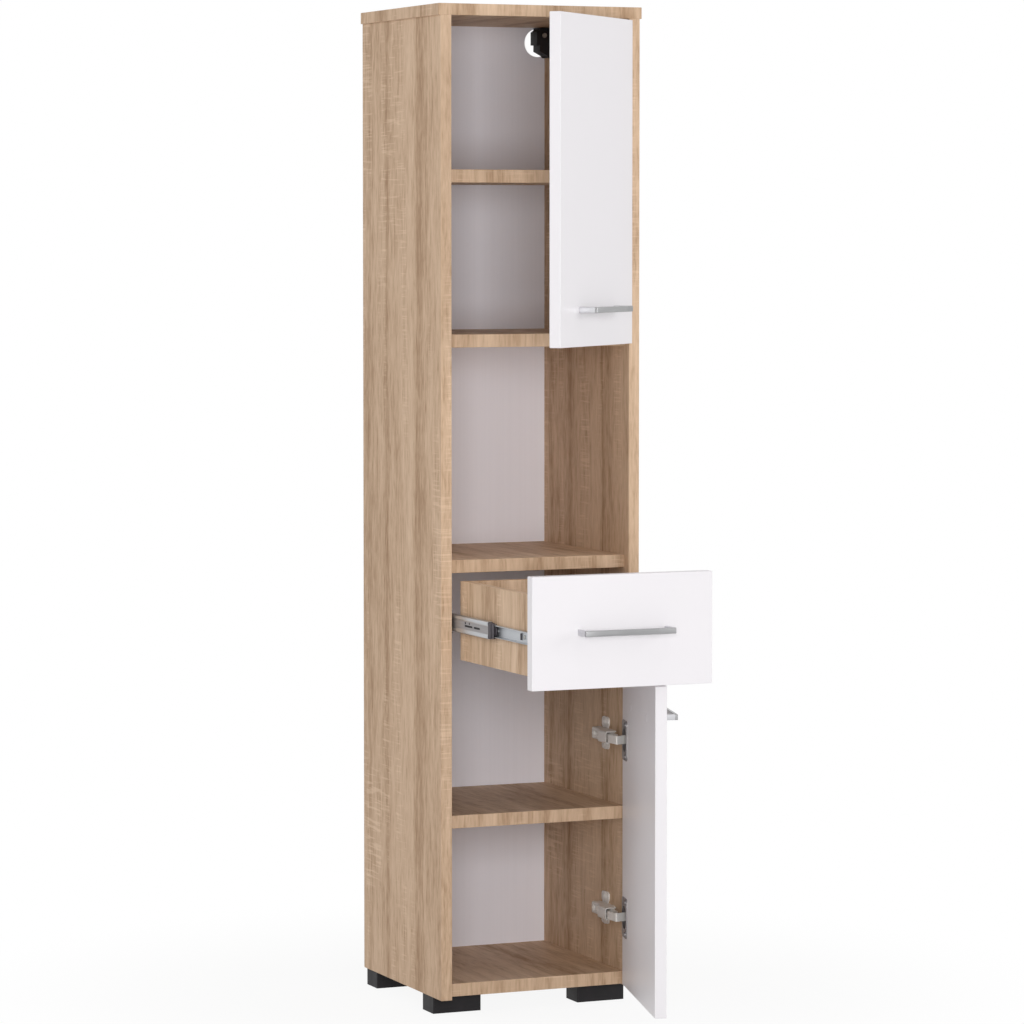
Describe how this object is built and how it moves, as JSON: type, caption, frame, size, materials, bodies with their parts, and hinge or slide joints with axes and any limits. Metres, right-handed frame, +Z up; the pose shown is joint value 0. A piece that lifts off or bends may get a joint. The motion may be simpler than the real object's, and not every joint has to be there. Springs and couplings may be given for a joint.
{
  "type": "tall bathroom cabinet",
  "caption": "Tall narrow bathroom cabinet with hinged doors, an open niche, a pull-out drawer, loose shelves and low block feet.",
  "frame": {"origin": "on the floor, midway between the side panels and midway along their depth", "axes": "+Z up, the front faces -Y, +X to the right of someone who faces the front"},
  "size_m": [0.306, 0.604, 1.4],
  "materials": {
    "oak_laminate": "sawn oak print on melamine faced board, vertical grain",
    "white_laminate": "smooth white melamine with matching edge",
    "back_board": "smooth painted fibreboard",
    "black_plastic": "moulded, fine grain",
    "handle_metal": "satin",
    "hinge_steel": "nickel plated",
    "slide_steel": "zinc plated",
    "fastener_steel": "zinc plated",
    "dowel_wood": "beech"
  },
  "bodies": {
    "carcass": {"side_panel_left": "oak_laminate", "side_panel_right": "oak_laminate", "top_panel": "oak_laminate", "bottom_panel": "oak_laminate", "upper_divider": "oak_laminate", "middle_divider": "oak_laminate", "upper_shelf": "oak_laminate", "lower_shelf": "oak_laminate", "back_panel": "back_board", "foot_front_left": "black_plastic", "foot_front_right": "black_plastic", "foot_rear_left": "black_plastic", "foot_rear_right": "black_plastic", "cabinet_hangers": "black_plastic", "hinge_mounting_plates": "hinge_steel", "hinge_arms": "hinge_steel", "slide_rail_left": "slide_steel", "slide_rail_right": "slide_steel", "foot_screws": "fastener_steel", "hanger_hooks": "fastener_steel", "hanger_screws": "fastener_steel", "shelf_pins": "fastener_steel", "cam_locks": "fastener_steel", "cam_bolts": "fastener_steel", "back_panel_nails": "fastener_steel", "hinge_screws": "fastener_steel", "slide_rail_screws": "fastener_steel", "dowels": "dowel_wood"},
    "upper_door": {"upper_door_panel": "white_laminate", "upper_door_hinge_cups": "hinge_steel", "upper_door_link_pins": "fastener_steel", "upper_door_cup_screws": "fastener_steel", "upper_door_handle": "handle_metal", "upper_door_handle_screws": "fastener_steel"},
    "upper_links": {"upper_door_hinge_links": "hinge_steel"},
    "lower_door": {"lower_door_panel": "white_laminate", "lower_door_hinge_cups": "hinge_steel", "lower_door_link_pins": "fastener_steel", "lower_door_cup_screws": "fastener_steel", "lower_door_handle": "handle_metal", "lower_door_handle_screws": "fastener_steel"},
    "lower_links": {"lower_door_hinge_links": "hinge_steel"},
    "drawer": {"drawer_front": "white_laminate", "drawer_side_left": "oak_laminate", "drawer_side_right": "oak_laminate", "drawer_back": "oak_laminate", "drawer_bottom": "back_board", "drawer_handle": "handle_metal", "drawer_handle_screws": "fastener_steel", "drawer_box_fixings": "fastener_steel", "slide_member_left": "slide_steel", "slide_member_right": "slide_steel"},
    "middle_left": {"slide_middle_left": "slide_steel", "slide_retainer_left": "black_plastic"},
    "middle_right": {"slide_middle_right": "slide_steel", "slide_retainer_right": "black_plastic"},
    "cage_outer_left": {"ball_cage_outer_left": "slide_steel"},
    "cage_outer_right": {"ball_cage_outer_right": "slide_steel"},
    "cage_inner_left": {"ball_cage_inner_left": "slide_steel"},
    "cage_inner_right": {"ball_cage_inner_right": "slide_steel"}
  },
  "joints": [
    {"name": "upper_door_hinge", "type": "hinge", "parent": "carcass", "child": "upper_door", "pos_m": [0.137, -0.1432, 1.157], "axis": [0, 0, 1], "range_deg": [-43.7, 49.3]},
    {"name": "upper_link_pivot", "type": "hinge", "parent": "upper_door", "child": "upper_links", "pos_m": [0.12344, -0.15173, 1.157], "axis": [0, 0, 1], "range_deg": [-38.06, 33.75]},
    {"name": "lower_door_hinge", "type": "hinge", "parent": "carcass", "child": "lower_door", "pos_m": [0.137, -0.1432, 0.254], "axis": [0, 0, 1], "range_deg": [-74.8, 18.2]},
    {"name": "lower_link_pivot", "type": "hinge", "parent": "lower_door", "child": "lower_links", "pos_m": [0.1298, -0.15751, 0.254], "axis": [0, 0, 1], "range_deg": [-14.11, 57.7]},
    {"name": "drawer_slide", "type": "slide", "parent": "carcass", "child": "drawer", "axis": [0, -1, 0], "range_m": [-0.27, 0]},
    {"name": "middle_slide_left", "type": "slide", "parent": "carcass", "child": "middle_left", "axis": [0, -1, 0], "range_m": [-0.1652, 0.0001]},
    {"name": "outer_cage_slide_left", "type": "slide", "parent": "carcass", "child": "cage_outer_left", "axis": [0, -1, 0], "range_m": [-0.0827, 0.0001]},
    {"name": "inner_cage_slide_left", "type": "slide", "parent": "carcass", "child": "cage_inner_left", "axis": [0, -1, 0], "range_m": [-0.2177, 0.0001]},
    {"name": "middle_slide_right", "type": "slide", "parent": "carcass", "child": "middle_right", "axis": [0, -1, 0], "range_m": [-0.1652, 0.0001]},
    {"name": "outer_cage_slide_right", "type": "slide", "parent": "carcass", "child": "cage_outer_right", "axis": [0, -1, 0], "range_m": [-0.0827, 0.0001]},
    {"name": "inner_cage_slide_right", "type": "slide", "parent": "carcass", "child": "cage_inner_right", "axis": [0, -1, 0], "range_m": [-0.2177, 0.0001]}
  ],
  "couplings": [
    {"joint": "upper_link_pivot", "follows": "upper_door_hinge", "ratio": -0.77},
    {"joint": "lower_link_pivot", "follows": "lower_door_hinge", "ratio": -0.77},
    {"joint": "middle_slide_left", "follows": "drawer_slide", "ratio": 0.61111},
    {"joint": "outer_cage_slide_left", "follows": "drawer_slide", "ratio": 0.30556},
    {"joint": "inner_cage_slide_left", "follows": "drawer_slide", "ratio": 0.80556},
    {"joint": "middle_slide_right", "follows": "drawer_slide", "ratio": 0.61111},
    {"joint": "outer_cage_slide_right", "follows": "drawer_slide", "ratio": 0.30556},
    {"joint": "inner_cage_slide_right", "follows": "drawer_slide", "ratio": 0.80556}
  ]
}
